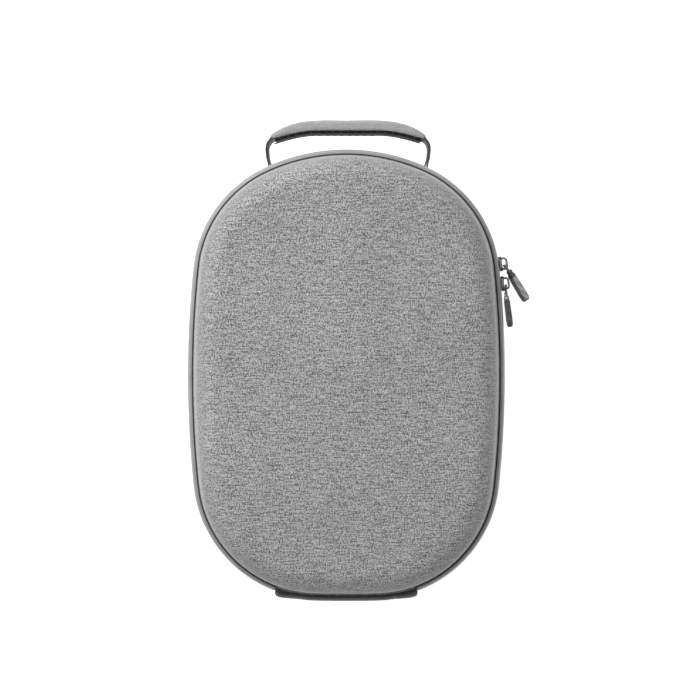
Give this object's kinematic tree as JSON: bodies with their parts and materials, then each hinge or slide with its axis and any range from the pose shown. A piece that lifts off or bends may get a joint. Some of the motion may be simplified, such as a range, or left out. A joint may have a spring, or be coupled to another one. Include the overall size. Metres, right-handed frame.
{
  "type": "headphone carrying case",
  "caption": "Hard-shell zip-up headphone carrying case with a domed lid, a base shell, a fabric hinge strip, zip pulls and a padded carrying handle.",
  "frame": {"origin": "centre of the flat rest face on the back of the base: the case lies on its back", "axes": "+X to the right and +Y to the handle as seen from the lid's side, +Z out of the lid"},
  "size_m": [0.2121, 0.2984, 0.11],
  "materials": {
    "melange_fabric": "two-tone grey melange woven fabric bonded to the shell",
    "eva_foam": "matt moulded foam",
    "lining_fabric": "brushed knit lining",
    "dark_tape": "woven binding tape",
    "zip_tape": "smooth satin-coated zip tape",
    "zip_coil": "nylon coil",
    "stop_metal": "pressed stop",
    "black_webbing": "woven polyester webbing",
    "hook_and_loop": "hook and loop pile",
    "pocket_mesh": "knitted mesh",
    "handle_fabric": "grey fabric over foam",
    "ribbed_rubber": "soft rubber with slanted ribs",
    "slider_metal": "gunmetal paint on die-cast zinc",
    "pull_fabric": "grey webbing folded and stitched over a core"
  },
  "bodies": {
    "base": {"base_cover": "melange_fabric", "base_core": "eva_foam", "base_lining": "lining_fabric", "base_rim_binding": "dark_tape", "base_zip_tape": "zip_tape", "base_zip_coil": "zip_coil", "base_zip_stops": "stop_metal", "base_hinge_strip": "dark_tape", "handle_anchor_left": "dark_tape", "handle_anchor_right": "dark_tape", "retaining_strap_left": "black_webbing", "retaining_strap_right": "black_webbing", "strap_loop_patch": "hook_and_loop", "strap_hook_patch": "hook_and_loop"},
    "lid": {"lid_cover": "melange_fabric", "lid_core": "eva_foam", "lid_lining": "lining_fabric", "lid_rim_binding": "dark_tape", "lid_zip_tape": "zip_tape", "lid_zip_coil": "zip_coil", "lid_zip_stops": "stop_metal", "lid_hinge_strip": "dark_tape", "mesh_pocket": "pocket_mesh", "mesh_pocket_hem": "black_webbing"},
    "handle": {"handle_cover": "handle_fabric", "handle_pad": "eva_foam", "handle_underside": "ribbed_rubber", "handle_webbing": "black_webbing"},
    "upper_slider": {"upper_slider": "slider_metal"},
    "upper_link": {"upper_link": "slider_metal"},
    "upper_grip": {"upper_grip": "pull_fabric"},
    "lower_slider": {"lower_slider": "slider_metal"},
    "lower_link": {"lower_link": "slider_metal"},
    "lower_grip": {"lower_grip": "pull_fabric"}
  },
  "joints": [
    {"name": "lid_hinge", "type": "hinge", "parent": "base", "child": "lid", "pos_m": [0, -0.14106, 0.055], "axis": [1, 0, 0], "range_deg": [0, 180]},
    {"name": "handle_flop", "type": "hinge", "parent": "base", "child": "handle", "pos_m": [0, 0.13, 0.0365], "axis": [1, 0, 0], "range_deg": [-55, 30], "deforming": ["handle_webbing"]},
    {"name": "upper_slider_travel", "type": "hinge", "parent": "base", "child": "upper_slider", "pos_m": [0.0182, 0.05835, 0.055], "axis": [0, 0, 1], "range_deg": [0, 54]},
    {"name": "upper_link_swing", "type": "hinge", "parent": "upper_slider", "child": "upper_link", "pos_m": [0.09805, 0.06781, 0.055], "axis": [0, 0, 1], "range_deg": [0, 60]},
    {"name": "upper_grip_swing", "type": "hinge", "parent": "upper_link", "child": "upper_grip", "pos_m": [0.10152, 0.06367, 0.055], "axis": [-0.1593, -0.1336, 0.9781], "range_deg": [0, 90]},
    {"name": "lower_slider_travel", "type": "hinge", "parent": "base", "child": "lower_slider", "pos_m": [-0.55544, -0.00093, 0.055], "axis": [0, 0, 1], "range_deg": [-10, 0]},
    {"name": "lower_link_swing", "type": "hinge", "parent": "lower_slider", "child": "lower_link", "pos_m": [0.09923, 0.05547, 0.055], "axis": [0, 0, 1], "range_deg": [0, 28]},
    {"name": "lower_grip_swing", "type": "hinge", "parent": "lower_link", "child": "lower_grip", "pos_m": [0.09933, 0.05008, 0.055], "axis": [0, 0, 1], "range_deg": [0, 36]}
  ]
}
